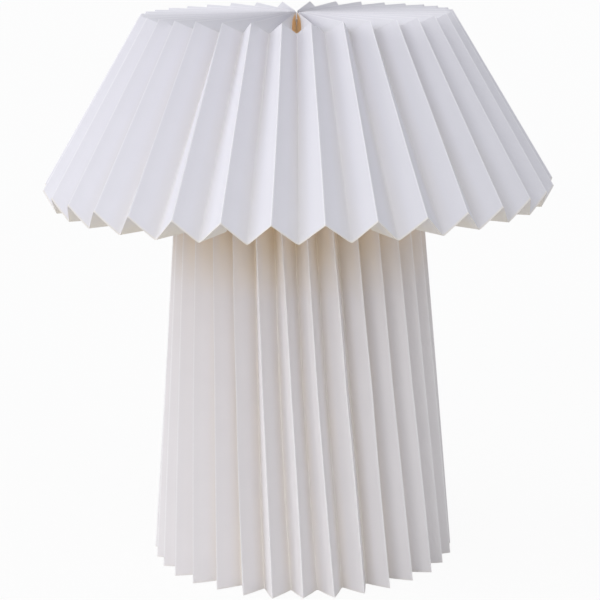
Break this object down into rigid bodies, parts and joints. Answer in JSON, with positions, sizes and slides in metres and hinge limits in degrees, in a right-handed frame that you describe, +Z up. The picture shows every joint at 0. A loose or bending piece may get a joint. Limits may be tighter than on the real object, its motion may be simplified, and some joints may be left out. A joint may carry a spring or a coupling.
{
  "type": "pleated paper table lamp",
  "caption": "Table lamp with a gathered pleated paper shade lying on a wire carrier over a tapered pleated paper base on a weighted foot.",
  "frame": {"origin": "centre of the footprint on the table, under the lamp's axis", "axes": "+Z up along the stem, -Y towards the front, where the shade's seam is"},
  "size_m": [0.3, 0.2988, 0.3265],
  "materials": {
    "shade_paper": "matt, uncoated",
    "base_paper": "matt, uncoated",
    "thread": "twisted cotton",
    "white_wire": "white powder coat",
    "holder_plastic": "moulded white",
    "fibre": "pressed fibre",
    "ceramic_insert": "unglazed",
    "brass_parts": "satin",
    "steel_screws": "bright zinc",
    "bulb_glass": "frosted",
    "bulb_metal": "nickel bright",
    "bulb_black": "vitrite",
    "bulb_inner": "clear",
    "filament": "phosphor",
    "zinc_steel": "zinc plated",
    "foot_paint": "white powder coat",
    "pad_rubber": "matt",
    "bush_nylon": "moulded",
    "block_nylon": "moulded",
    "lead_brown": "insulation",
    "lead_blue": "insulation"
  },
  "bodies": {
    "stand": {"carrier_ring": "white_wire", "carrier_arms": "white_wire", "fitter_ring": "white_wire", "holder_shell": "holder_plastic", "holder_cap": "holder_plastic", "holder_insert": "ceramic_insert", "thread_sleeve": "brass_parts", "contact_tongue": "brass_parts", "terminals": "brass_parts", "terminal_screws": "steel_screws", "base_paper": "base_paper", "lower_ring": "white_wire", "upper_ring": "white_wire", "frame_uprights": "white_wire", "frame_spider": "white_wire", "stem_tube": "zinc_steel", "stem_nuts": "zinc_steel", "stem_washers": "zinc_steel", "foot_plate": "foot_paint", "foot_pads": "pad_rubber", "cord_bush": "bush_nylon", "terminal_block": "block_nylon", "block_screws": "steel_screws", "live_lead": "lead_brown", "neutral_lead": "lead_blue"},
    "thread_loop": {"gather_thread": "thread"},
    "shade": {"shade_paper": "shade_paper"},
    "bulb_feed": {"bulb_contact": "bulb_metal"},
    "bulb": {"bulb_glass": "bulb_glass", "bulb_cap": "bulb_metal", "bulb_insulator": "bulb_black", "bulb_stem": "bulb_inner", "filaments": "filament"},
    "collar_feed": {"collar_washer": "fibre"},
    "collar": {"collar": "holder_plastic"}
  },
  "joints": [
    {"name": "shade_lift", "type": "slide", "parent": "stand", "child": "thread_loop", "axis": [0, 0, 1], "range_m": [0, 0.12]},
    {"name": "shade_turn", "type": "hinge", "parent": "thread_loop", "child": "shade", "pos_m": [0, 0, 0.3], "axis": [0, 0, 1], "continuous": true},
    {"name": "bulb_rise", "type": "slide", "parent": "stand", "child": "bulb_feed", "axis": [0, 0, 1], "range_m": [0, 0.0142]},
    {"name": "bulb_turn", "type": "hinge", "parent": "bulb_feed", "child": "bulb", "pos_m": [0, 0, 0.25], "axis": [0, 0, 1], "range_deg": [0, 1800]},
    {"name": "collar_rise", "type": "slide", "parent": "stand", "child": "collar_feed", "axis": [0, 0, 1], "range_m": [0, 0.0062]},
    {"name": "collar_turn", "type": "hinge", "parent": "collar_feed", "child": "collar", "pos_m": [0, 0, 0.22], "axis": [0, 0, 1], "range_deg": [0, 1080]}
  ],
  "couplings": [
    {"joint": "bulb_rise", "follows": "bulb_turn", "m_per_rad": 0.00044913},
    {"joint": "collar_rise", "follows": "collar_turn", "m_per_rad": 0.00031831}
  ]
}
